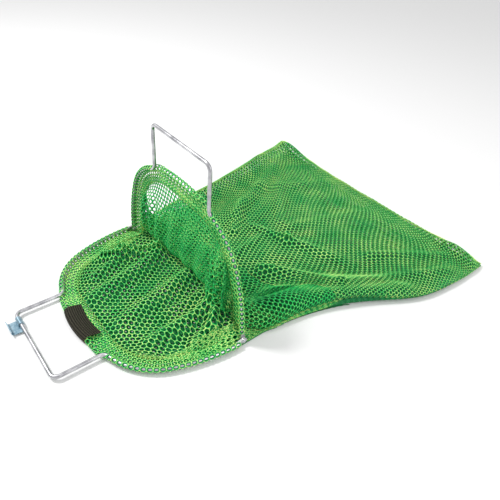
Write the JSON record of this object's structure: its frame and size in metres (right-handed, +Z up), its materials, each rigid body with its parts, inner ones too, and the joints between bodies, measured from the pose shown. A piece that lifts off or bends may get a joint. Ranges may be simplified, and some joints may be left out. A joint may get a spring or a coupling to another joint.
{
  "type": "wire-mouth mesh catch bag",
  "caption": "Green mesh catch bag sewn round a hinged two-part wire mouth, each half with its own rectangular handle, and a swinging latch hook.",
  "frame": {"origin": "on the ground, under the middle of the hinge line of the wire mouth", "axes": "+Z up, +Y from the hinge towards the closed end of the bag, +X along the hinge towards the near side; the lower handle points to -Y"},
  "size_m": [0.448, 0.6001, 0.2064],
  "materials": {
    "galvanized_wire": "drawn zinc-coated wire, satin, with darker draw marks",
    "rivet_steel": "zinc-plated rivet steel, satin",
    "zinc_sheet": "blue-white zinc-plated sheet, satin",
    "green_net": "knotless knitted polyester net, glossy green yarn",
    "green_thread": "green polyester sewing thread",
    "black_webbing": "ribbed brown-black webbing",
    "dark_thread": "dark sewing thread"
  },
  "bodies": {
    "root": {"lower_hoop_wire": "galvanized_wire", "near_rivet": "rivet_steel", "far_rivet": "rivet_steel", "near_washer": "rivet_steel", "far_washer": "rivet_steel", "lower_hem": "green_net", "lower_hem_stitching": "green_thread", "bag_floor_panel": "green_net", "bag_top_panel": "green_net", "bag_throat": "green_net", "side_seam": "green_net", "end_seam": "green_net", "webbing_patch": "black_webbing", "patch_stitching": "dark_thread"},
    "upper_frame": {"upper_hoop_wire": "galvanized_wire", "upper_hem": "green_net", "upper_hem_stitching": "green_thread"},
    "latch": {"latch_clip": "zinc_sheet"}
  },
  "joints": [
    {"name": "mouth_hinge", "type": "hinge", "parent": "root", "child": "upper_frame", "pos_m": [0, 0, 0.006], "axis": [1, 0, 0], "range_deg": [-70, 87], "deforming": ["bag_throat"]},
    {"name": "latch_hinge", "type": "hinge", "parent": "root", "child": "latch", "pos_m": [0, -0.198, 0.006], "axis": [1, 0, 0], "range_deg": [-90, 0]}
  ]
}
